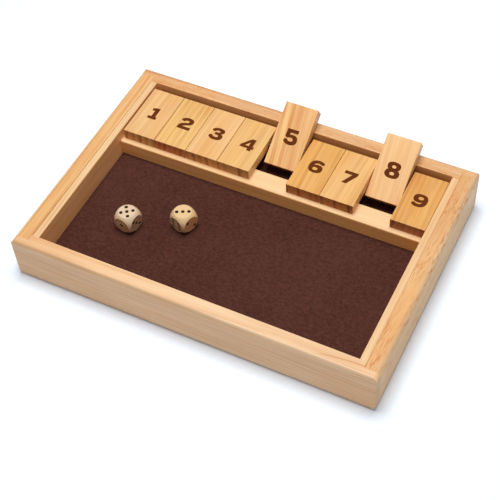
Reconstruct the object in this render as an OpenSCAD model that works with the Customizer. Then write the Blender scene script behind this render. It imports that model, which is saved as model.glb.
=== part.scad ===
// Wooden tile-flip dice game: a shallow tray with a felt floor, a shelf for the tiles, one steel rod
// that carries nine numbered tiles, and two loose wooden dice.
// Millimetres. X runs left to right, Y runs from the player to the back, Z is up.
// The origin is the centre of the tray's footprint, on the table.

/* [Tray] */
// Overall width of the tray, left to right
tray_w = 284; // [230:1:360]
// Overall depth of the tray, front to back
tray_d = 198.6; // [165:0.1:260]
// Overall height of the tray
tray_h = 37; // [33:0.5:48]
// Thickness of the four outer rails
rail_t = 12; // [10:0.5:16]
// How deep the ends of the side rails sit in the front and back rails
lap = 5; // [3:0.5:8]
// Radius of the rounded outer edges on top of the side rails
side_round = 4; // [1:0.1:5]
// Radius of the rounded outer edges on top of the front and back rails
front_round = 3; // [1:0.1:4.5]
// Radius of the rounded outer edges under the rails
foot_round = 4; // [1:0.1:5]
// Radius of the tray's four upright corners
corner_r = 2; // [1:0.1:4.5]
// Radius of the eased inner edges of the rails
rail_ease = 0.5; // [0.2:0.1:1.2]

/* [Side strips] */
// Thickness of the strip that lines each side of the tray
strip_t = 5.4; // [4:0.2:8]
// How far the strips and the lying tiles stay below the top of the rails
top_drop = 0.8; // [0.2:0.1:2]
// Radius of the strips' eased long edges
strip_ease = 0.6; // [0.2:0.1:1.5]

/* [Floor] */
// Height of the base panel's underside above the table
panel_lift = 7.8; // [5:0.1:10]
// Thickness of the base panel
panel_t = 5; // [3:0.5:7]
// How deep the panel's edge sits in the grooves of the rails
groove_in = 5; // [3:0.5:6]
// Play between the panel's edge and the bottom of the groove
groove_play = 0.2; // [0.1:0.1:0.5]
// Thickness of the felt on the floor
felt_t = 1.2; // [0.8:0.1:2.5]
// Gap around the edge of the felt
felt_trim = 0.2; // [0.1:0.1:0.5]

/* [Shelf] */
// Depth of the shelf that the lying tiles rest on, front to back
shelf_d = 16; // [10:0.5:24]
// Radius of the shelf's rounded front edge
shelf_nose = 1; // [0.5:0.1:5]
// Radius of the shelf's eased back edge
shelf_ease = 0.5; // [0.2:0.1:1]
// Gap between the shelf's back face and the swing of the tiles' root ends
shelf_clear = 8.6; // [1:0.1:12]

/* [Tiles] */
// Number of tiles
tile_count = 9; // [9:1:9]
// Length of a tile
tile_l = 50; // [44:0.5:60]
// Thickness of a tile
tile_t = 8.8; // [7:0.1:11]
// Sideways play that each tile has on the rod
tile_play = 1; // [0.6:0.1:2]
// Radius of a tile's eased edges
tile_ease = 0.4; // [0.2:0.1:1.5]
// Height of the bore's axis above the underside of a lying tile
bore_up = 3.4; // [2.8:0.1:4.4]
// Gap between the felt and the swing of the tiles' root ends
floor_clear = 1.5; // [0.5:0.1:4]
// Gap between the back rail and the swing of the tiles' root ends
rear_clear = 4.9; // [1:0.1:6]
// Gap that a resting tile keeps from the shelf or from the back rail
rest_gap = 0.2; // [0.1:0.05:0.4]

/* [Pivot rod] */
// Diameter of the steel rod
rod_d = 3; // [2.5:0.1:4]
// Radial clearance between the rod and the bore of a tile
tile_fit = 0.08; // [0.03:0.01:0.1]
// Radial clearance between the rod and the bore of a side strip
strip_fit = 0.03; // [0.02:0.01:0.1]
// Gap between each end of the rod and the side rail
rod_end_gap = 0.3; // [0.1:0.1:1]
// Length of the chamfer on each end of the rod
rod_chamfer = 0.4; // [0.2:0.1:0.8]

/* [Dice] */
// Side of a die
die_a = 16; // [12:0.5:20]
// How much the round corners take off the corners of the cube
die_corner = 3.5; // [1.5:0.1:4]
// Distance from a face's centre line to its outer pips
pip_pitch = 3.2; // [2.6:0.1:4.5]
// Diameter of a pip
pip_d = 2.7; // [1.6:0.1:3]
// Depth of a pip
pip_deep = 0.7; // [0.4:0.1:1.2]
// First die, from the left side strip
die_1_side = 42.6; // [30:0.1:50]
// First die, from the front rail
die_1_in = 51.6; // [30:0.1:60]
// First die, turn about the vertical
die_1_turn = 81.5; // [0:0.5:360]
// Second die, from the left side strip
die_2_side = 80.4; // [76:0.1:95]
// Second die, from the front rail
die_2_in = 68.4; // [40:0.1:80]
// Second die, turn about the vertical
die_2_turn = 71.5; // [0:0.5:360]

/* [Hidden] */

// The tiles that stand up against the back rail
standing = [5, 8];

// Clear space between the rails, and between the side strips
inside_w = tray_w - 2 * rail_t;
inside_d = tray_d - 2 * rail_t;
bay_w = inside_w - 2 * strip_t;

// Heights of the floor, from the table up
panel_top = panel_lift + panel_t;
felt_top = panel_top + felt_t;
strip_top = tray_h - top_drop;

// The rod lies below the middle of a flat tile's thickness
rod_z = strip_top - tile_t + bore_up;
bore_down = tile_t - bore_up;

// The root end swings just clear of the felt, which gives the part of a tile behind the rod
swing_r = rod_z - felt_top - floor_clear;
root_l = sqrt(swing_r * swing_r - bore_down * bore_down);
free_l = tile_l - root_l;
rod_y = inside_d / 2 - rear_clear - swing_r;

// The shelf carries the free end of a flat tile
shelf_top = strip_top - tile_t - rest_gap;
shelf_back = rod_y - swing_r - shelf_clear;
shelf_front = shelf_back - shelf_d;

// A standing tile leans on the eased inner edge of the back rail at this angle above level
edge_y = inside_d / 2 + rail_ease - rod_y;
edge_z = tray_h - rail_ease - rod_z;
lean = asin((bore_down + rail_ease + rest_gap) / norm([edge_y, edge_z])) + atan2(edge_z, edge_y);
flip = 180 - lean;

// Nine equal tiles share the bay. Each has slid along the rod by a share of its own play.
tile_pitch = bay_w / tile_count;
tile_w = tile_pitch - tile_play;
slid = [1.2, 0.57, -0.07, -0.71, 0.1, 1.21, 0.52, -0.07, 0.4];

rod_len = inside_w - 2 * rod_end_gap;
die_ball = die_a * sqrt(3) / 2 - die_corner;

// A little more than nothing, so that a cut passes right through a face
cut = 0.5;

$fn = 40;

// ---------- shared shapes ----------

// What a rounding of radius r takes off a square corner at the origin
module corner_waste(r) {
    difference() {
        translate([-cut, -cut])
            square(r + cut);
        translate([r, r])
            circle(r = r);
    }
}

// A w by h rectangle with its lower left corner at the origin.
// The radii go round from the lower left: lower left, lower right, upper right, upper left.
module soft_rect(w, h, radii) {
    difference() {
        square([w, h]);
        corner_waste(radii[0]);
        translate([w, 0])
            rotate(90)
                corner_waste(radii[1]);
        translate([w, h])
            rotate(180)
                corner_waste(radii[2]);
        translate([0, h])
            rotate(-90)
                corner_waste(radii[3]);
    }
}

// Draws a profile of depth and height and runs it along X, centred
module along_x(len) {
    rotate([90, 0, 90])
        linear_extrude(height = len, center = true)
            children();
}

// ---------- frame ----------

// Section through a rail: its outer face is at 0 and its inner face at rail_t
module rail_section(foot_r, top_r) {
    soft_rect(rail_t, tray_h, [foot_r, rail_ease, rail_ease, top_r]);
}

// The groove for the base panel, on the inner side of a rail
module panel_groove(len) {
    translate([-len / 2, rail_t - groove_in, panel_lift])
        cube([len, groove_in + cut, panel_t + groove_play]);
}

// The front and back rails run the whole width. Their ends are rounded like the side rails,
// and a rebate at each end takes the end of a side rail.
module long_rail() {
    difference() {
        intersection() {
            along_x(tray_w)
                rail_section(foot_round, front_round);
            translate([-tray_w / 2, 2 * rail_t, 0])
                rotate([90, 0, 0])
                    linear_extrude(height = 4 * rail_t)
                        soft_rect(tray_w, tray_h, [foot_round, foot_round, side_round, side_round]);
            translate([-tray_w / 2, 0, 0])
                linear_extrude(height = tray_h)
                    soft_rect(tray_w, 4 * rail_t, [corner_r, corner_r, corner_r, corner_r]);
        }
        for (side = [-1, 1])
            translate([side * (inside_w + rail_t + cut) / 2, rail_t - lap / 2 + cut / 2, tray_h / 2])
                cube([rail_t + cut, lap + cut, tray_h + 2 * cut], center = true);
        panel_groove(inside_w + 2 * groove_in);
    }
}

// The side rails fit between the rebates of the long rails
module short_rail() {
    short_l = tray_d - 2 * (rail_t - lap);
    difference() {
        along_x(short_l)
            rail_section(foot_round, side_round);
        panel_groove(short_l + 2 * cut);
    }
}

module front_rail() {
    color("BurlyWood")
        translate([0, -tray_d / 2, 0])
            long_rail();
}

module back_rail() {
    color("Peru")
        translate([0, tray_d / 2, 0])
            rotate(180)
                long_rail();
}

module left_rail() {
    color("SandyBrown")
        translate([-tray_w / 2, 0, 0])
            rotate(-90)
                short_rail();
}

module right_rail() {
    color("Tan")
        translate([tray_w / 2, 0, 0])
            rotate(90)
                short_rail();
}

// A side strip stands on the panel against the left rail, and its bore takes one end of the rod
module side_strip() {
    difference() {
        translate([-inside_w / 2, 0, panel_top])
            rotate(90)
                along_x(inside_d)
                    translate([-strip_t, 0])
                        soft_rect(strip_t, strip_top - panel_top,
                                  [strip_ease, strip_ease, strip_ease, strip_ease]);
        translate([-inside_w / 2, rod_y, rod_z])
            rotate([0, 90, 0])
                cylinder(h = 4 * strip_t, r = rod_d / 2 + strip_fit, center = true);
    }
}

module left_side_strip() {
    color("Wheat")
        side_strip();
}

module right_side_strip() {
    color("Wheat")
        mirror([1, 0, 0])
            side_strip();
}

// ---------- floor ----------

module base_panel() {
    color("DarkKhaki")
        translate([0, 0, panel_lift + panel_t / 2])
            cube([inside_w + 2 * (groove_in - groove_play), inside_d + 2 * (groove_in - groove_play), panel_t],
                 center = true);
}

// One sheet of felt covers the whole floor, also below the shelf and the tiles
module felt_mat() {
    color("SaddleBrown")
        translate([0, 0, panel_top + felt_t / 2])
            cube([bay_w - 2 * felt_trim, inside_d - 2 * felt_trim, felt_t], center = true);
}

// ---------- shelf and rod ----------

module tile_shelf() {
    color("NavajoWhite")
        translate([0, shelf_front, felt_top])
            along_x(bay_w)
                soft_rect(shelf_d, shelf_top - felt_top, [shelf_ease, shelf_ease, shelf_ease, shelf_nose]);
}

module pivot_rod() {
    color("Silver")
        translate([0, rod_y, rod_z])
            rotate([0, 90, 0])
                rotate_extrude()
                    polygon([[0, -rod_len / 2],
                             [rod_d / 2 - rod_chamfer, -rod_len / 2],
                             [rod_d / 2, rod_chamfer - rod_len / 2],
                             [rod_d / 2, rod_len / 2 - rod_chamfer],
                             [rod_d / 2 - rod_chamfer, rod_len / 2],
                             [0, rod_len / 2]]);
}

// ---------- tiles ----------

// A flat tile with the rod's axis on X: the free end points to the player, the root end to the back
module tile_blank() {
    soft = [tile_ease, tile_ease, tile_ease, tile_ease];
    difference() {
        intersection() {
            translate([0, -free_l, -bore_up])
                along_x(tile_w)
                    soft_rect(tile_l, tile_t, soft);
            translate([-tile_w / 2, root_l + cut, -bore_up])
                rotate([90, 0, 0])
                    linear_extrude(height = tile_l + 2 * cut)
                        soft_rect(tile_w, tile_t, soft);
            translate([-tile_w / 2, -free_l, -tile_t])
                linear_extrude(height = 2 * tile_t)
                    soft_rect(tile_w, tile_l, soft);
        }
        rotate([0, 90, 0])
            cylinder(h = tile_w + 2 * cut, r = rod_d / 2 + tile_fit, center = true);
    }
}

function stands(n) = len(search(n, standing)) > 0;

module tile(n) {
    translate([(n - (tile_count + 1) / 2) * tile_pitch + slid[n - 1] * tile_play, rod_y, rod_z])
        rotate([stands(n) ? -flip : 0, 0, 0])
            tile_blank();
}

module tile_1() {
    color("Goldenrod")
        tile(1);
}

module tile_2() {
    color("Gold")
        tile(2);
}

module tile_3() {
    color("Goldenrod")
        tile(3);
}

module tile_4() {
    color("Gold")
        tile(4);
}

module tile_5() {
    color("Orange")
        tile(5);
}

module tile_6() {
    color("Goldenrod")
        tile(6);
}

module tile_7() {
    color("Gold")
        tile(7);
}

module tile_8() {
    color("Orange")
        tile(8);
}

module tile_9() {
    color("Goldenrod")
        tile(9);
}

// ---------- dice ----------

// Places of the pips on a face, in steps of pip_pitch
pip_places = [
    [[0, 0]],
    [[-1, 1], [1, -1]],
    [[-1, 1], [0, 0], [1, -1]],
    [[-1, 1], [1, -1], [-1, -1], [1, 1]],
    [[-1, 1], [1, -1], [-1, -1], [1, 1], [0, 0]],
    [[-1, -1], [-1, 0], [-1, 1], [1, -1], [1, 0], [1, 1]]
];

// The drilled pips of a face that looks along +Z
module pips(value) {
    for (place = pip_places[value - 1])
        translate([place[0] * pip_pitch, place[1] * pip_pitch, die_a / 2 - pip_deep])
            cylinder(h = pip_deep + cut, r = pip_d / 2, $fn = 20);
}

// A die is a cube whose corners are turned off by a ball. Opposite faces add up to seven.
module die(top, front, right) {
    difference() {
        intersection() {
            cube(die_a, center = true);
            sphere(r = die_ball, $fn = 64);
        }
        pips(top);
        rotate([180, 0, 0])
            pips(7 - top);
        rotate([90, 0, -90])
            pips(front);
        rotate([90, 0, 90])
            pips(7 - front);
        rotate([90, 0, 0])
            pips(right);
        rotate([90, 0, 180])
            pips(7 - right);
    }
}

module die_1() {
    color("Moccasin")
        translate([die_1_side - bay_w / 2, die_1_in - inside_d / 2, felt_top + rest_gap + die_a / 2])
            rotate(die_1_turn)
                die(5, 1, 3);
}

module die_2() {
    color("Khaki")
        translate([die_2_side - bay_w / 2, die_2_in - inside_d / 2, felt_top + rest_gap + die_a / 2])
            rotate(die_2_turn)
                die(3, 6, 2);
}

front_rail();
back_rail();
left_rail();
right_rail();
left_side_strip();
right_side_strip();
base_panel();
felt_mat();
tile_shelf();
pivot_rod();
tile_1();
tile_2();
tile_3();
tile_4();
tile_5();
tile_6();
tile_7();
tile_8();
tile_9();
die_1();
die_2();
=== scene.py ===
import math

import bmesh
import bpy
import numpy as np
from mathutils import Matrix, Vector


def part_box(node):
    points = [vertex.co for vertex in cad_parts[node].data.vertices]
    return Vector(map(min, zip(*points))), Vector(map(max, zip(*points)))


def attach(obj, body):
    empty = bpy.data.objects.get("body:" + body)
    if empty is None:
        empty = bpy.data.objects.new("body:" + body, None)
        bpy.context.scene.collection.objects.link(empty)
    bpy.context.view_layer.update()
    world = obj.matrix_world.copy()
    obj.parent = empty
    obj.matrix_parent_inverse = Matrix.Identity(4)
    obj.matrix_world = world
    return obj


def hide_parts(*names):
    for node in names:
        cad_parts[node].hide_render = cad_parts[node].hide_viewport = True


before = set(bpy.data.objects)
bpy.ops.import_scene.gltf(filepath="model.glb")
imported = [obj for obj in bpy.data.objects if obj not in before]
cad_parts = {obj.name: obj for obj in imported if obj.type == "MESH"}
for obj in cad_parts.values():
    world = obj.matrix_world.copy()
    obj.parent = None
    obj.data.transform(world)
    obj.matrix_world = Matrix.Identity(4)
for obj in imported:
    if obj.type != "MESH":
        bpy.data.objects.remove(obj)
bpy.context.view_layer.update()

# ---------- base panel ----------
# A 5 mm board of three-ply lime, slid into grooves in the rails before the last corner is glued.
# Only its underside ever shows: peeled veneer, so the grain wanders in broad flames along X.


class Wire:
    """One output of a shader node. Sums on it add Math nodes, and node() adds any other node."""

    def __init__(self, tree, socket=None):
        self.tree, self.socket = tree, socket

    def node(self, kind, settings, inputs, out=0):
        """Adds one node: its settings first, then its inputs as plain values or wires."""
        made = self.tree.nodes.new("ShaderNode" + kind)
        for name, value in settings.items():
            setattr(made, name, value)
        for name, value in inputs.items():
            if isinstance(value, Wire):
                self.tree.links.new(value.socket, made.inputs[name])
            else:
                made.inputs[name].default_value = value
        return Wire(self.tree, made.outputs[out])

    def sum(self, operation, *values):
        return self.node("Math", {"operation": operation}, dict(enumerate(values)))

    def __add__(self, other):
        return self.sum("ADD", self, other)

    def __radd__(self, other):
        return self.sum("ADD", other, self)

    def __sub__(self, other):
        return self.sum("SUBTRACT", self, other)

    def __rsub__(self, other):
        return self.sum("SUBTRACT", other, self)

    def __mul__(self, other):
        return self.sum("MULTIPLY", self, other)

    def __truediv__(self, other):
        return self.sum("DIVIDE", self, other)

    def step(self, low, high, start=0.0, end=1.0):
        """Runs smoothly from start to end while this wire goes from low to high."""
        return self.node("MapRange", {"interpolation_type": "SMOOTHSTEP"},
                         {"Value": self, "From Min": low, "From Max": high, "To Min": start, "To Max": end})

    def part(self, axis):
        """One coordinate of this point."""
        return self.node("SeparateXYZ", {}, {0: self}, axis)

    def spread(self, x, y, z):
        """This point, with each of its three ways stretched or squeezed."""
        return self.node("VectorMath", {"operation": "MULTIPLY"}, {0: self, 1: (x, y, z)})

    def warped(self, push, reach):
        """This point, moved by a noise of three colours by up to half of reach in each of the three ways."""
        centred = self.node("VectorMath", {"operation": "SUBTRACT"}, {0: push, 1: (0.5, 0.5, 0.5)})
        return self.node("VectorMath", {"operation": "ADD"}, {0: self, 1: centred.spread(*reach)})

    def noise(self, scale, detail=2.0, rough=0.5, out="Fac"):
        """Cloudy noise at this point: scale is in lumps per metre."""
        return self.node("TexNoise", {},
                         {"Vector": self, "Scale": scale, "Detail": detail, "Roughness": rough}, out)

    def blend(self, under, over, way="MIX"):
        """Lays one colour on another, by as much as this wire says."""
        return self.node("Mix", {"data_type": "RGBA", "blend_type": way, "clamp_factor": True},
                         {0: self, 6: under, 7: over}, 2)

    def into(self, shader, name):
        """Feeds this wire to an input of a shader."""
        self.tree.links.new(self.socket, shader.inputs[name])


def paint(red, green, blue):
    """A colour of 0 to 255 as it is seen, as the shader's own linear numbers."""
    seen = np.array([red, green, blue]) / 255
    return (*np.where(seen > 0.04045, ((seen + 0.055) / 1.055) ** 2.4, seen / 12.92).tolist(), 1.0)


def finish_of(name, level):
    """A new finish, with the inputs of its shader that are level all over it: the material, the shader and a
    wire to hang nodes on."""
    made = bpy.data.materials.new(name)
    made.use_nodes = True
    tree = made.node_tree
    tree.nodes.clear()
    shader = tree.nodes.new("ShaderNodeBsdfPrincipled")
    tree.links.new(shader.outputs[0], tree.nodes.new("ShaderNodeOutputMaterial").inputs[0])
    for entry, value in level.items():
        shader.inputs[entry].default_value = value
    return made, shader, Wire(tree)


# The noises in the wood: how often each repeats in a metre, along the grain and in the two ways across it
ring_drift, broken_lines = (7, 40, 40), (14, 60, 60)
fibre_streaks, fine_hairs = (13, 420, 420), (24, 1300, 1300)
tone_clouds, red_clouds = (11, 60, 60), (8, 75, 75)
fleck_crowds, fleck_dashes = (24, 110, 110), (150, 1200, 1200)
red_blush, resin_fleck = (1.0, 0.86, 0.66, 1.0), (0.8, 0.5, 0.25, 1.0)
# How nearly a spot has to look up, or along the grain, to begin to count as a top or a cut end, and to do
# so fully
looks_up, looks_along = (0.3, 0.8), (0.55, 0.9)


def lacquered_wood(name, place, turn, heart, pale, dark, end, ring=0.003, lines=0.8, fibre=1.1, cloud=1.0,
                   flecks=0.0, blush=0.3, taper=0.012, wander=0.003, painted_facing_light=(), cast=None, scar=None):
    """Sawn wood under clear satin lacquer. place and turn carry the board so that its grain runs along X.

    The tree's heart runs beside the board at heart = (y, z), and the yearly rings are tubes round it: a
    ring's number is the distance from the heart over the ring's width. Within a ring the tone climbs slowly
    from pale early wood to a narrow dark line and drops back at once. The tubes narrow along the board by
    taper and wander a little, so a face shows lines and flames, and an end shows arcs in end's two colours.
    Fibres are noise drawn out along the grain, flecks are short dashes of resin, and blush is a redder cast
    in clouds. The facing tints are painted light and shade: for each, the way that a face looks, how nearly a
    spot has to look that way before the tint begins and for it to be full, and the tint that lightens or
    darkens it there.
    cast deepens the tone of one end of the stick's top: the place where it is full, the place where it has
    gone, and its tint. scar is one dark line where a branch bent the grain: its end, its run back from
    there and its fall, which grows as the square of the way back, its width and its tint.
    """
    made, shader, wire = finish_of(name, {"Specular IOR Level": 0.35, "Coat Weight": 0.12,
                                          "Coat Roughness": 0.3})
    coordinates = wire.node("TexCoord", {}, {}, "Object")
    board = wire.node("Mapping", {"vector_type": "POINT"},
                      {"Vector": coordinates, "Location": place, "Rotation": turn})
    grown = board.warped(board.spread(*ring_drift).noise(1, 2, 0.5, "Color"), (0, wander, wander))
    x, y, z = grown.part("X"), grown.part("Y") - heart[0], grown.part("Z") - heart[1]
    years = (wire.sum("SQRT", y * y + z * z) + x * taper) / ring
    year = wire.sum("FRACT", years)
    strong = wire.node("TexWhiteNoise", {"noise_dimensions": "1D"}, {"W": wire.sum("FLOOR", years)}, "Value")
    line = year.step(0.15, 0.8) * year.step(0.84, 1.0, 1.0, 0.0)
    line = line * (0.15 + strong * 0.85)
    broken = line * board.spread(*broken_lines).noise(1, 2).step(0.3, 0.62, 0.35, 1.0)
    streaks = board.spread(*fibre_streaks).noise(1, 3, 0.6)
    hairs = board.spread(*fine_hairs).noise(1, 3, 0.6)
    clouds = board.spread(*tone_clouds).noise(1, 3, 0.55)
    crowds = board.spread(*fleck_crowds).noise(1, 2, 0.5).step(0.4, 0.58, 0.2, 1.0)
    dashes = board.spread(*fleck_dashes).noise(1, 2, 0.5).step(0.5, 0.66) * crowds
    tone = broken * lines + (streaks - 0.5) * fibre + (hairs - 0.5) * fibre + (clouds - 0.5) * cloud + 0.25
    wood = tone.blend(pale, dark)
    warm = board.spread(*red_clouds).noise(1, 2, 0.5).step(0.45, 0.7)
    wood = (warm * blush).blend(wood, red_blush, "MULTIPLY")
    wood = (dashes * flecks).blend(wood, resin_fleck, "MULTIPLY")
    normal = wire.node("TexCoord", {}, {}, "Normal")
    if cast:
        deepest, gone, tint = cast
        reach = board.part("X").step(deepest, gone, 1.0, 0.0) * normal.part("Z").step(*looks_up)
        wood = reach.blend(wood, (*tint, 1.0), "MULTIPLY")
    if scar:
        (end_x, end_y), (run, fall), width, tint = scar
        back = end_x - coordinates.part("X")
        off = coordinates.part("Y") - end_y + back * back * (fall / run ** 2)
        mark = wire.sum("ABSOLUTE", off).step(0.0, width, 1.0, 0.0)
        mark = mark * back.step(-0.008, 0.0) * back.step(run * 0.7, run, 1.0, 0.0)
        mark = mark * normal.part("Z").step(*looks_up)
        wood = mark.blend(wood, (*tint, 1.0), "MULTIPLY")
    # Painted light and shade: each facing tint lightens or darkens the wood where its face looks that way
    for way, begins, full, tint in painted_facing_light:
        painted_facing = wire.node("VectorMath", {"operation": "DOT_PRODUCT"}, {0: normal, 1: way}, "Value")
        wood = painted_facing.step(begins, full).blend(wood, (*tint, 1.0), "MULTIPLY")
    along = wire.node("Mapping", {"vector_type": "NORMAL"}, {"Vector": normal, "Rotation": turn})
    cut_end = wire.sum("ABSOLUTE", along.part("X")).step(*looks_along)
    bands = line * 0.8 + (clouds - 0.5) * 1.2 + (hairs - 0.5) * 0.5 + 0.1
    cut_end.blend(wood, bands.blend(*end)).into(shader, "Base Color")
    (0.44 + (hairs - 0.5) * 0.2 + dashes * 0.05 + cut_end * 0.12).into(shader, "Roughness")
    wire.node("Bump", {}, {"Strength": 0.35, "Distance": 0.00012,
                           "Height": hairs * 0.6 - broken * 0.5 - dashes * 0.3}).into(shader, "Normal")
    return made


def dress(node, finish):
    """Gives a CAD solid its finish in place of the plain one that it came with."""
    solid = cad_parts[node]
    solid.data.materials.clear()
    solid.data.materials.append(finish)


dress("base_panel", lacquered_wood(
    "peeled_lime", (0.3, 0.1, 0.021), (0, 0, 0), (0.01, -0.31), paint(226, 196, 150), paint(196, 156, 106),
    (paint(200, 160, 120), paint(160, 115, 75)), ring=0.0011, lines=0.5, fibre=0.6, cloud=0.7, taper=0.05,
    wander=0.006))

# ---------- four rails ----------
# Pine rails, 37 by 12 mm. The side rails are rounded along their outer edges and glued into rebates in the
# front and back ones. Each is cut from its own stick, and the grain runs with the rail.
along_x, along_y = (0, 0, 0), (0, 0, -math.pi / 2)
end_grain = (paint(230, 192, 150), paint(214, 170, 126))
# How nearly a spot of a board's side has to look the side's way before its painted light or shade begins, and
# is full
painted_side_range = (0.35, 0.85)
dress("front_rail", lacquered_wood(
    "front_rail_pine", (0.9, 0.1, 0), along_x, (0.035, -0.035), paint(252, 214, 173), paint(228, 173, 119),
    end_grain, ring=0.0031, lines=0.7, cast=(0.76, 0.88, (0.93, 0.85, 0.74)),
    scar=((0.127, -0.0916), (0.034, 0.0048), 0.0006, (0.74, 0.6, 0.46)),
    # painted shade: the rounded top front edge is darkened where it turns away from the light
    painted_facing_light=[((0, -0.67, 0.743), 0.86, 0.99, (0.76, 0.78, 0.81))]))
dress("back_rail", lacquered_wood(
    "back_rail_pine", (1.7, -0.09, 0), (0, 0, 0.03), (0.028, 0.09), paint(246, 203, 154), paint(214, 153, 99),
    end_grain, ring=0.0034, flecks=0.5, blush=0.5, cast=(1.61, 1.65, (0.97, 0.89, 0.82)),
    # painted light: the inner face, which looks to the front, is lightened as though lit
    painted_facing_light=[((0, -1, 0), *painted_side_range, (1.32, 1.18, 0.9))]))
dress("left_rail", lacquered_wood(
    "left_rail_pine", (0.2, -0.14, 0), along_y, (0.06, 0.03), paint(247, 196, 134), paint(219, 154, 90),
    end_grain, ring=0.0036,
    # painted reflection and light: the outer side and its rounding are paled and blued as by the white table
    # and room, and the inner side is lightened
    painted_facing_light=[((-1, 0, 0), 0.0, 0.6, (1.04, 1.32, 1.8)), ((1, 0, 0), 0.2, 0.7, (1.02, 1.2, 1.35))]))
dress("right_rail", lacquered_wood(
    "right_rail_pine", (2.6, 0.14, 0), (0, 0, -math.pi / 2 + 0.07), (-0.05, 0.045), paint(243, 194, 138),
    paint(214, 150, 92), end_grain, ring=0.0041, lines=0.2, fibre=0.9, flecks=0.9, blush=0.6,
    # painted light and shade: the outer rounding is paled and blued as by the white table, the outer face
    # warmed, and the inner side darkened
    painted_facing_light=[((1, 0, 0), 0.0, 0.5, (0.96, 1.15, 1.56)), ((1, 0, 0), 0.7, 0.95, (1.08, 1.03, 0.8)),
           ((-1, 0, 0), 0.1, 0.5, (0.8, 0.87, 0.88))]))

# ---------- two side strips ----------
# Pale pine strips, 5.4 mm thick, glued against the side rails. They close the panel's grooves, stop the
# shelf and are bored for the rod, and their tops lie a little below the rails.
# Painted shade: the strips' inner sides, down in the tray, are darkened and reddened
painted_flank_shade = (1.07, 0.83, 0.62)
dress("left_side_strip", lacquered_wood(
    "left_strip_pine", (0.5, -0.12, 0), along_y, (0.07, 0.01), paint(251, 219, 177), paint(230, 184, 130),
    end_grain, ring=0.0024, lines=0.7, painted_facing_light=[((1, 0, 0), *painted_side_range, painted_flank_shade)]))
dress("right_side_strip", lacquered_wood(
    "right_strip_pine", (1.1, 0.12, 0), along_y, (-0.06, 0.012), paint(250, 213, 165), paint(228, 176, 119),
    end_grain, ring=0.0025, lines=0.7, painted_facing_light=[((-1, 0, 0), *painted_side_range, painted_flank_shade)]))

# ---------- felt ----------
# One sheet of needled wool felt, 1.2 mm thick and chocolate brown, glued flat to the panel. It runs on
# below the shelf and the tiles. Its knife-cut rim is a little soft, and its face is never quite level.
felt_low, felt_high = (np.array(corner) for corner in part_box("felt_mat"))
felt_soft, felt_dip = 0.0004, 0.00006
# The two waves of the ripple: radians in a metre along X and along Y, and where the wave starts
felt_waves = ((97, 31, 0), (-43, 88, 1))
felt_grid = (260, 180)


def sheet_of_felt(across, along):
    """A flat pillow on a grid of (across, along): the top is the sheet's height less a slow ripple of two
    crossed waves, and falls off near the rim as a quarter circle; the bottom is level, and a wall joins the
    two rims."""
    reach = (felt_high - felt_low) / 2
    middle = (felt_high + felt_low) / 2
    way = np.linspace(-1, 1, across)[:, None] * np.ones(along)
    run = np.ones(across)[:, None] * np.linspace(-1, 1, along)
    x, y = middle[0] + reach[0] * way, middle[1] + reach[1] * run
    ripple = felt_dip * (1 + sum(0.5 * np.sin(a * x + b * y + start) for a, b, start in felt_waves)) / 2
    inset = np.minimum(reach[0] * (1 - abs(way)), reach[1] * (1 - abs(run)))
    near = np.clip(1 - inset / felt_soft, 0, 1)
    top = felt_high[2] - ripple - felt_soft * (1 - np.sqrt(1 - near ** 2))
    face = np.stack([x, y, top], -1).reshape(-1, 3)
    back = np.stack([x, y, np.full_like(x, felt_low[2])], -1).reshape(-1, 3)
    spot = np.arange(across * along).reshape(across, along)
    cell = np.stack([spot[:-1, :-1], spot[1:, :-1], spot[1:, 1:], spot[:-1, 1:]], -1).reshape(-1, 4)
    rim = np.concatenate([spot[:-1, 0], spot[-1, :-1], spot[:0:-1, -1], spot[0, :0:-1]])
    after = np.roll(rim, -1)
    wall = np.stack([after, rim, rim + across * along, after + across * along], -1)
    return np.concatenate([face, back]), np.concatenate([cell, cell[:, ::-1] + across * along, wall])


def piece_of(name, points, faces, finish):
    """Makes a piece in its place from whole arrays of points and faces."""
    mesh = bpy.data.meshes.new(name)
    mesh.from_pydata(points.tolist(), [], faces.tolist())
    mesh.polygons.foreach_set("use_smooth", np.ones(len(mesh.polygons), bool))
    mesh.materials.append(finish)
    mesh.update()
    piece = bpy.data.objects.new(name, mesh)
    bpy.context.scene.collection.objects.link(piece)
    return piece


def felt_finish():
    """Matted wool: short curled fibres as warped noise, small tufts, and a slow change of shade where it was
    rolled."""
    made, shader, wire = finish_of("brown_wool_felt", {"Roughness": 1.0, "Specular IOR Level": 0.15,
                                                       "Sheen Weight": 0.05, "Sheen Roughness": 0.6})
    place = wire.node("TexCoord", {}, {}, "Object")
    curled = place.warped(place.noise(420, 2, 0.5, "Color"), (0.004, 0.004, 0.004))
    fibres = curled.spread(600, 1300, 1300).noise(1, 4, 0.7)
    tufts = place.spread(380, 620, 620).noise(1, 3, 0.65)
    shade = place.noise(22, 2, 0.5)
    tone = 0.5 + (fibres - 0.5) * 1.7 + (tufts - 0.5) * 1.5 + (shade - 0.5) * 0.4
    tone.blend(paint(57, 28, 22), paint(99, 58, 48)).into(shader, "Base Color")
    relief = wire.node("Bump", {}, {"Strength": 0.6, "Distance": 0.0004, "Height": fibres * 0.5 + tufts})
    relief.into(shader, "Normal")
    return made


felt = piece_of("felt_sheet", *sheet_of_felt(*felt_grid), felt_finish())
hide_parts("felt_mat")
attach(felt, "tray")

# ---------- shelf ----------
# A pine bar across the tray, glued down on the felt between the side strips. The free ends of the lying
# tiles rest on it, and its front edge is rounded over for the fingers.
dress("tile_shelf", lacquered_wood(
    "shelf_pine", (3.3, 0, 0), along_x, (0.1, 0.06), paint(255, 221, 173), paint(240, 190, 134),
    # painted shade: the shelf's front face, which looks into the tray, is darkened
    end_grain, ring=0.0028, lines=0.5, painted_facing_light=[((0, -1, 0), *painted_side_range, (0.98, 0.73, 0.46))]))

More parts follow.
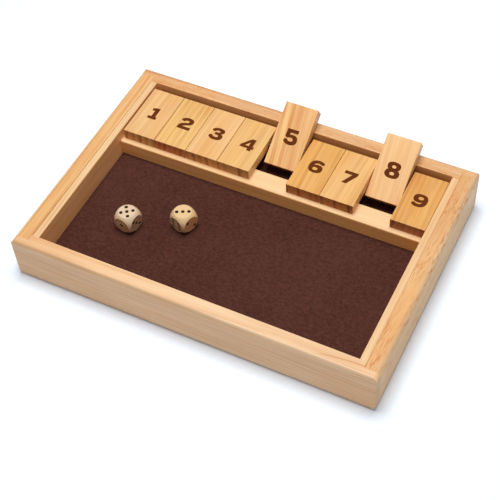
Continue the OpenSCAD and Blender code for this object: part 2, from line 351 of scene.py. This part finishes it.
# ---------- rod ----------
# One 3 mm drawn steel rod through all nine tiles and both side strips, whose bores hold its ends.
# The die that it was drawn through leaves fine lines along it.
steel, steel_shader, steel_wire = finish_of("drawn_steel", {"Metallic": 1.0})
on_rod = steel_wire.node("TexCoord", {}, {}, "Object")
drawn = on_rod.spread(9, 5200, 5200).noise(1, 3, 0.6)
smears = on_rod.spread(60, 300, 300).noise(1, 2)
shine = 0.5 + (drawn - 0.5) * 0.8 + (smears - 0.5) * 0.5
shine.blend(paint(84, 80, 76), paint(112, 108, 102)).into(steel_shader, "Base Color")
(0.42 + drawn * 0.16 + smears * 0.1).into(steel_shader, "Roughness")
dress("pivot_rod", steel)

# ---------- nine tiles ----------
# Each tile is a 50 by 26.7 by 8.8 mm pine block with eased edges, bored across near its root end for the
# rod. The blocks come from different sticks, so no two have the same tone or the same lines.
flat, lean = 180, 31.901
rod_y, rod_z = 0.0671, 0.0308
# How much further along an endless stick each tile's wood is taken
stick_step = 0.37
# Per tile: the angle that it stands at above level, where the tree's heart lay sideways and upwards from the
# rod, how far the grain runs askew, the rings' width and how strong their lines are, and the colours of the
# early wood, the late wood and the cut end
gold_end = (paint(222, 156, 84), paint(158, 88, 34))
red_end = (paint(199, 119, 54), paint(127, 60, 24))
tile_woods = {
    1: (flat, (0.090, 0.008), 0.02, 0.0060, 0.35, (246, 202, 144), (222, 164, 102),
        (paint(229, 166, 93), paint(164, 94, 38))),
    2: (flat, (-0.050, -0.008), -0.03, 0.0046, 0.75, (247, 201, 128), (214, 150, 82),
        (paint(207, 116, 53), paint(132, 59, 24))),
    3: (flat, (0.080, -0.010), 0.03, 0.0055, 0.55, (248, 203, 144), (230, 173, 110),
        (paint(230, 154, 80), paint(164, 87, 32))),
    4: (flat, (-0.110, 0.010), 0.0, 0.0062, 0.4, (245, 200, 133), (220, 164, 100), gold_end),
    5: (lean, (0.085, 0.02), -0.10, 0.0068, 0.9, (255, 210, 142), (226, 154, 90), gold_end),
    6: (flat, (0.070, -0.008), -0.02, 0.0048, 0.7, (241, 186, 108), (210, 142, 68), red_end),
    7: (flat, (-0.060, 0.006), 0.02, 0.0052, 0.45, (247, 199, 132), (225, 166, 98), red_end),
    8: (lean, (-0.120, -0.02), -0.06, 0.0060, 0.35, (253, 208, 149), (236, 174, 112), gold_end),
    9: (flat, (0.055, 0.008), -0.03, 0.0043, 0.85, (242, 186, 109), (208, 142, 72),
        (paint(190, 115, 60), paint(121, 59, 26))),
}
for number, (stand, heart, askew, ring, lines, early, late, cut) in tile_woods.items():
    tilt = 0 if stand == flat else -math.radians(stand)
    low, high = (np.array(corner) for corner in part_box(f"tile_{number}"))
    turned = Matrix.Rotation(tilt, 3, "X") @ Vector(((low[0] + high[0]) / 2, rod_y, rod_z))
    dress(f"tile_{number}", lacquered_wood(
        f"tile_{number}_pine", (number * stick_step - turned.y, turned.x, -turned.z),
        (tilt, 0, askew - math.pi / 2), heart, paint(*early), paint(*late), cut, ring=ring, lines=lines,
        fibre=1.4, cloud=1.3, blush=0.5, wander=0.002))

# ---------- numerals ----------
# The numbers are stamped in red-brown ink on both wide faces of every tile, 12 mm high, so that one reads
# upright while the tile lies and the other while it stands. The film is a few hundredths of a mm thick.
# Each loop is a row of points in millimetres from the numeral's middle: (x, y) is a corner, and (x, y, 0)
# is a handle, which a parabola rounds.
numerals = {
    1: [[(-3.7, -6), (3.7, -6), (3.7, -3.2), (2.3, -3.2), (2.3, 6.1), (-0.5, 6.1), (-3.7, 5.1), (-3.2, 2.4),
         (-1.1, 3), (-1.1, -3.2), (-3.7, -3.2)]],
    2: [[(-5.3, -6.1), (5.4, -6.1), (5.4, -3.2), (-1.5, -3.2), (-1.2, -2.2, 0), (1.2, -1.5), (5.3, -0.3, 0),
         (5.3, 2.6), (5.3, 6.3, 0), (0.2, 6.3), (-3.6, 6.3, 0), (-5, 3.9), (-4.9, 2.4), (-2.4, 1.9),
         (-1.5, 3.4, 0), (0.1, 3.4), (1.7, 3.4, 0), (1.7, 2.3), (1.7, 1.2, 0), (-0.6, 0.7), (-5.3, -0.4, 0),
         (-5.3, -4)]],
    3: [[(-5.5, -3.8), (-3.7, -6.3, 0), (0, -6.3), (5.6, -6.3, 0), (5.6, -2.5), (5.6, 0.1, 0), (3, 0.6),
         (5.2, 1.3, 0), (5.2, 3.2), (5.2, 6.3, 0), (0.1, 6.3), (-3.5, 6.3, 0), (-5.1, 4), (-5.1, 2.6),
         (-2.7, 1.9), (-1.6, 3.5, 0), (0, 3.5), (1.6, 3.5, 0), (1.6, 2.6), (1.6, 1.6, 0), (-0.4, 1.6),
         (-1.9, 1.6), (-1.9, -0.9), (-0.3, -0.9), (1.9, -0.9, 0), (1.9, -2.2), (1.9, -3.4, 0), (0, -3.4),
         (-2, -3.4, 0), (-3.3, -1.7), (-5.4, -2.2)]],
    4: [[(1, -6.1), (4.3, -6.1), (4.3, -3.9), (5.6, -3.9), (5.6, -1.3), (4.3, -1.3), (4.3, 6.2), (0.8, 6.2),
         (-5.6, -1.6), (-5.6, -3.9), (1, -3.9)],
        [(1, -1.4), (-2, -1.4), (1, 2.4)]],
    5: [[(-5.3, -4.1), (-3.6, -6.3, 0), (-0.3, -6.3), (5.4, -6.3, 0), (5.4, -2.1), (5.4, 1.9, 0), (0.6, 1.9),
         (-0.7, 1.9, 0), (-1.6, 1.6), (-1.5, 3.3), (4.5, 3.3), (4.5, 6.1), (-4.7, 6.1), (-5, -0.2),
         (-3, -1.2), (-1.6, -0.6, 0), (-0.4, -0.6), (1.8, -0.6, 0), (1.8, -2.1), (1.8, -3.5, 0),
         (-0.3, -3.5), (-1.9, -3.5, 0), (-3.1, -1.9), (-5.1, -2.4)]],
    6: [[(5.6, -2.2), (5.6, -6.3, 0), (0.1, -6.3), (-5.6, -6.3, 0), (-5.6, -0.4), (-5.6, 6.3, 0), (0.6, 6.3),
         (3.4, 6.3, 0), (5.2, 4.7), (5.3, 2.9), (3.5, 2.3), (2.2, 3.4, 0), (0.7, 3.4), (-1.6, 3.4, 0),
         (-2, 1.1), (-0.9, 2, 0), (1, 2), (5.6, 2, 0)],
        [(1.9, -2.2), (1.9, -0.8, 0), (-0.1, -0.8), (-2, -0.8, 0), (-2, -2.2), (-2, -3.7, 0), (-0.1, -3.7),
         (1.9, -3.7, 0)]],
    7: [[(-4, -6.1), (-0.1, -6.1), (5.3, 3.9), (5.3, 6.1), (-5.2, 6.1), (-5.2, 3.2), (1, 3.2)]],
    8: [[(0, -6.3), (5.7, -6.3, 0), (5.7, -2.6), (5.7, -0.7, 0), (3.8, 0.3), (5.2, 1.2, 0), (5.2, 3),
         (5.2, 6.3, 0), (0, 6.3), (-5.2, 6.3, 0), (-5.2, 3), (-5.2, 1.2, 0), (-3.8, 0.3), (-5.7, -0.7, 0),
         (-5.7, -2.6), (-5.7, -6.3, 0)],
        [(0, -3.9), (-1.8, -3.9, 0), (-1.8, -2.7), (-1.8, -1.5, 0), (0, -1.5), (1.8, -1.5, 0), (1.8, -2.7),
         (1.8, -3.9, 0)],
        [(0, 1.5), (-1.6, 1.5, 0), (-1.6, 2.6), (-1.6, 3.7, 0), (0, 3.7), (1.6, 3.7, 0), (1.6, 2.6),
         (1.6, 1.5, 0)]],
}
numerals[9] = [[(-p[0], -p[1], *p[2:]) for p in loop] for loop in numerals[6]]
# How far the stamp missed the middle of the tile, sideways, in millimetres
stamped_at = {1: (0.2, 0), 2: (1.06, 0.2), 3: (0.98, 0.2), 4: (0.84, -0.1), 5: (0.36, -0.5), 6: (0.09, 0),
              7: (-0.04, -0.3), 8: (0.2, -0.8), 9: (0.17, -0.2)}
# From the rod: how far a tile reaches back to its root end, and how far it rises and hangs while it lies
root, above, below = 0.014315, 0.0054, 0.0034
half_tile = 0.025
# How far the film of ink stands out of the wood, and how far it sinks in
ink_out, ink_in = 0.00004, 0.00002


def rounded_loop(row, steps=8):
    """A loop of corners and handles as a fine closed line in metres. Between two corners a and b with a
    handle h the line is (1-t)^2 a + 2t(1-t) h + t^2 b; without one it runs straight."""
    points = np.array([p[:2] for p in row]) / 1000
    corner = np.array([len(p) == 2 for p in row])
    place = np.flatnonzero(corner)
    start, end = points[place], points[np.roll(place, -1)]
    rounded = ~corner[(place + 1) % len(row)]
    handle = np.where(rounded[:, None], points[(place + 1) % len(row)], (start + end) / 2)
    t = (np.arange(steps) / steps)[None, :, None]
    line = (1 - t) ** 2 * start[:, None] + 2 * t * (1 - t) * handle[:, None] + t * t * end[:, None]
    kept = np.ones(line.shape[:2], bool)
    kept[~rounded, 1:] = False
    return line[kept]


def ink_film(name, loops, place, finish):
    """A flat filled curve through the loops, a hair thick, made a mesh and then laid on its tile by place."""
    curve = bpy.data.curves.new(name, "CURVE")
    curve.dimensions, curve.fill_mode = "2D", "BOTH"
    curve.extrude = (ink_out + ink_in) / 2
    for row in loops:
        line = rounded_loop(row)
        spline = curve.splines.new("POLY")
        spline.points.add(len(line) - 1)
        rest = np.tile([0.0, 1.0], (len(line), 1))
        spline.points.foreach_set("co", np.hstack([line, rest]).ravel())
        spline.use_cyclic_u = True
    drawing = bpy.data.objects.new(name + "_drawing", curve)
    bpy.context.scene.collection.objects.link(drawing)
    mesh = bpy.data.meshes.new_from_object(drawing.evaluated_get(bpy.context.evaluated_depsgraph_get()))
    bpy.data.objects.remove(drawing)
    mesh.name = name
    film = bmesh.new()
    film.from_mesh(mesh)
    bmesh.ops.remove_doubles(film, verts=film.verts, dist=1e-6)
    bmesh.ops.recalc_face_normals(film, faces=film.faces)
    film.to_mesh(mesh)
    film.free()
    mesh.transform(place)
    mesh.materials.clear()
    mesh.materials.append(finish)
    piece = bpy.data.objects.new(name, mesh)
    bpy.context.scene.collection.objects.link(piece)
    return piece


def ink_finish():
    """Stamped ink sinks into wood unevenly: the fibres show through as lighter hairs, and the film has thin
    spots."""
    made, shader, wire = finish_of("stamped_ink", {"Specular IOR Level": 0.06})
    place = wire.node("TexCoord", {}, {}, "Object")
    hairs = place.spread(1000, 160, 160).noise(1, 3, 0.65)
    spots = place.noise(520, 3, 0.6)
    tone = 0.4 + (hairs - 0.5) * 0.9 + (spots - 0.5) * 1.1
    tone.blend(paint(94, 40, 8), paint(122, 64, 24)).into(shader, "Base Color")
    (0.6 + hairs * 0.2).into(shader, "Roughness")
    return made


ink = ink_finish()
for number, (stand, *_) in tile_woods.items():
    low, high = (np.array(corner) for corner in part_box(f"tile_{number}"))
    middle_x = (low[0] + high[0]) / 2
    # Flat frame: origin on the rod, free end towards the player. The face that shows while the tile lies
    # has the numeral's head to the back; the other face has it to the free end.
    run = Matrix.Translation((middle_x, rod_y, rod_z)) @ Matrix.Rotation(-math.radians(flat - stand), 4, "X")
    off, up = stamped_at[number][0] / 1000, stamped_at[number][1] / 1000
    centre, proud = root - half_tile, (ink_out - ink_in) / 2
    up_face = run @ Matrix.Translation((off, centre + up, above + proud))
    turned_over = Matrix.Rotation(math.pi, 4, "X")
    under_face = run @ Matrix.Translation((off, centre - up, -below - proud)) @ turned_over
    for side, place in (("lying", up_face), ("standing", under_face)):
        numeral = ink_film(f"numeral_{number}_{side}", numerals[number], place, ink)
        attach(numeral, f"tile_{number}")

# ---------- two dice ----------
# Beech cubes, 16 mm, turned to a ball so that every corner is round, with drilled pips. The hollows are
# filled with drops of black lacquer that dry a little below the face.
die_side, pip_step, pip_radius = 0.016, 0.0032, 0.00133
# How nearly a spot has to look straight sideways before the painted shade on a die's sides begins, and is
# full
painted_die_side_range = (0.78, 0.95)
# Per die: its middle, its turn about the upright, the faces that look up, to its own -X and to its own -Y,
# its early and late wood, and the painted shade on its sides, darker than the top as the lamp is overhead
dice = {
    1: ((-0.0820, -0.0357, 0.0222), 81.5, (5, 1, 3), (240, 216, 186), (214, 180, 142), (0.63, 0.49, 0.46)),
    2: ((-0.0442, -0.0189, 0.0222), 71.5, (3, 6, 2), (244, 212, 164), (222, 178, 122), (0.88, 0.66, 0.6)),
}
pips = {
    1: [(0, 0)],
    2: [(-1, 1), (1, -1)],
    3: [(-1, 1), (0, 0), (1, -1)],
    4: [(-1, 1), (1, -1), (-1, -1), (1, 1)],
    5: [(-1, 1), (1, -1), (-1, -1), (1, 1), (0, 0)],
    6: [(-1, -1), (-1, 0), (-1, 1), (1, -1), (1, 0), (1, 1)],
}


def drops(place, around=24):
    """Round drops, one for each pip: a profile of (radius, height) turned about the pip's own axis. It starts
    at the middle of a sunk bowl, climbs the hollow's wall and returns under itself, closed to a point at
    both ends."""
    radius = np.array([0, 0.45, 0.8, 0.96, 1.0, 1.0]) * pip_radius
    height = np.array([-0.00034, -0.00032, -0.00026, -0.00017, -0.00012, -0.00069])
    angle = np.arange(around) * 2 * math.pi / around
    rings = np.stack([radius[1:, None] * np.cos(angle), radius[1:, None] * np.sin(angle),
                      height[1:, None] + 0 * angle], -1).reshape(-1, 3)
    drop = np.concatenate([[[0, 0, height[0]]], rings, [[0, 0, height[-1]]]])
    points = (place[:, :3, :3] @ drop.T).transpose(0, 2, 1) + place[:, None, :3, 3]
    k = np.arange(around)
    after = (k + 1) % around
    crown = np.stack([0 * k, 1 + k, 1 + after], -1)
    rows = 1 + around * np.arange(len(radius) - 2)[:, None]
    upper = np.stack([rows + k, rows + around + k, rows + around + after], -1).reshape(-1, 3)
    lower = np.stack([rows + k, rows + around + after, rows + after], -1).reshape(-1, 3)
    last = 1 + around * (len(radius) - 2)
    foot = np.stack([last + after, last + k, 0 * k + len(drop) - 1], -1)
    faces = np.concatenate([crown, upper, lower, foot])
    faces = faces + len(drop) * np.arange(len(place))[:, None, None]
    return points.reshape(-1, 3), faces.reshape(-1, 3)


def lacquer_drop():
    """Black lacquer, glossy in the bowl and a little dusty, with a trace of brown where it is thin."""
    made, shader, wire = finish_of("black_lacquer", {"Specular IOR Level": 0.2})
    dust = wire.node("TexCoord", {}, {}, "Object").noise(2400, 3, 0.6)
    dust.step(0.35, 0.75).blend(paint(24, 10, 4), paint(54, 28, 14)).into(shader, "Base Color")
    (0.35 + dust * 0.3).into(shader, "Roughness")
    return made


lacquer = lacquer_drop()
die_ends = (paint(220, 180, 138), paint(160, 112, 72))
for number, (middle, degrees, (top, front, right), early, late, side_shade_tint) in dice.items():
    turn = math.radians(degrees)
    ways = [turn + math.radians(quarter) for quarter in (0, 90, 180, 270)]
    dress(f"die_{number}", lacquered_wood(
        f"die_{number}_beech", tuple(Matrix.Rotation(-turn, 3, "Z") @ -Vector(middle)), (0, 0, -turn),
        (0.045, 0.03 * number), paint(*early), paint(*late), die_ends, ring=0.0019, lines=0.5, fibre=0.8,
        cloud=0.6, wander=0.001,
        # painted shade: each of the four flat sides is darkened
        painted_facing_light=[((math.cos(way), math.sin(way), 0), *painted_die_side_range, side_shade_tint) for way in ways]))
    upright = Matrix.Translation(middle) @ Matrix.Rotation(turn, 4, "Z")
    faces = (
        (top, Matrix.Identity(4)),
        (7 - top, Matrix.Rotation(math.pi, 4, "X")),
        (front, Matrix.Rotation(-math.pi / 2, 4, "Z") @ Matrix.Rotation(math.pi / 2, 4, "X")),
        (7 - front, Matrix.Rotation(math.pi / 2, 4, "Z") @ Matrix.Rotation(math.pi / 2, 4, "X")),
        (right, Matrix.Rotation(math.pi / 2, 4, "X")),
        (7 - right, Matrix.Rotation(math.pi, 4, "Z") @ Matrix.Rotation(math.pi / 2, 4, "X")),
    )
    places = np.array([upright @ face @ Matrix.Translation((x * pip_step, y * pip_step, die_side / 2))
                       for value, face in faces for x, y in pips[value]])
    filled = piece_of(f"die_{number}_pips", *drops(places), lacquer)
    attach(filled, f"die_{number}")

# ---------- table, light and camera ----------
# A plain white table under one broad soft lamp overhead, in an even pale room. The camera sees the table a
# little brighter than it is. A hand's width from the tray the table begins to go over into plain white, so
# that it ends in white on every side but keeps the tray's soft shadow.
table_half, table_drop = 3.0, 0.0001
table_true, table_shown = (0.8, 0.8, 0.8, 1), (1.07, 1.19, 1.345, 1)
# How far from the tray's middle the table begins to go over into plain white, and has become it
fade = (0.24, 0.42)
paper_white = (1, 1, 1, 1)
room_light = 0.3

white_table = bpy.data.materials.new("white_table")
white_table.use_nodes = True
white_table.node_tree.nodes.clear()
slab = Wire(white_table.node_tree)
to_camera = slab.node("LightPath", {}, {}, "Is Camera Ray")
to_gloss = slab.node("LightPath", {}, {}, "Is Glossy Ray")
to_glass = slab.node("LightPath", {}, {}, "Is Transmission Ray")
shown = slab.sum("MINIMUM", to_camera + to_gloss + to_glass, 1.0)
plain = slab.node("BsdfDiffuse", {}, {"Color": table_true})
bright = slab.node("BsdfDiffuse", {}, {"Color": table_shown})
near = slab.node("MixShader", {}, {0: shown, 1: plain, 2: bright})
far = slab.node("Emission", {}, {"Color": paper_white, "Strength": 1.0})
away = slab.node("VectorMath", {"operation": "LENGTH"}, {0: slab.node("TexCoord", {}, {}, "Object")}, "Value")
surface = slab.node("MixShader", {}, {0: shown * away.step(*fade), 1: near, 2: far})
surface.into(white_table.node_tree.nodes.new("ShaderNodeOutputMaterial"), "Surface")
corners = np.array([[-1, -1, 0], [1, -1, 0], [1, 1, 0], [-1, 1, 0]]) * table_half - [0, 0, table_drop]
table = piece_of("table", corners, np.array([[0, 1, 2, 3]]), white_table)

room = bpy.data.worlds.new("pale_room")
room.use_nodes = True
room.node_tree.nodes.clear()
air = Wire(room.node_tree)
lit = air.node("Background", {}, {"Color": paper_white, "Strength": room_light})
backdrop = air.node("Background", {}, {"Color": paper_white, "Strength": 1.0})
behind = air.node("MixShader", {}, {0: air.node("LightPath", {}, {}, "Is Camera Ray"), 1: lit, 2: backdrop})
behind.into(room.node_tree.nodes.new("ShaderNodeOutputWorld"), "Surface")
bpy.context.scene.world = room

lamp = bpy.data.lights.new("overhead_softbox", "AREA")
lamp.shape, lamp.size, lamp.energy = "SQUARE", 0.55, 10.0
lamp.color = (1.0, 0.98, 0.95)
softbox = bpy.data.objects.new("overhead_softbox", lamp)
softbox.location = (-0.03, 0.04, 1.15)
bpy.context.scene.collection.objects.link(softbox)

lens = bpy.data.cameras.new("camera")
lens.sensor_width, lens.lens = 36.0, 83.069
camera = bpy.data.objects.new("camera", lens)
camera.location = (0.26835, -0.47635, 0.67203)
camera.rotation_euler = tuple(math.radians(a) for a in (38.487, 2.559, 26.249))
bpy.context.scene.collection.objects.link(camera)
bpy.context.scene.camera = camera
bpy.context.scene.view_settings.view_transform = "Standard"
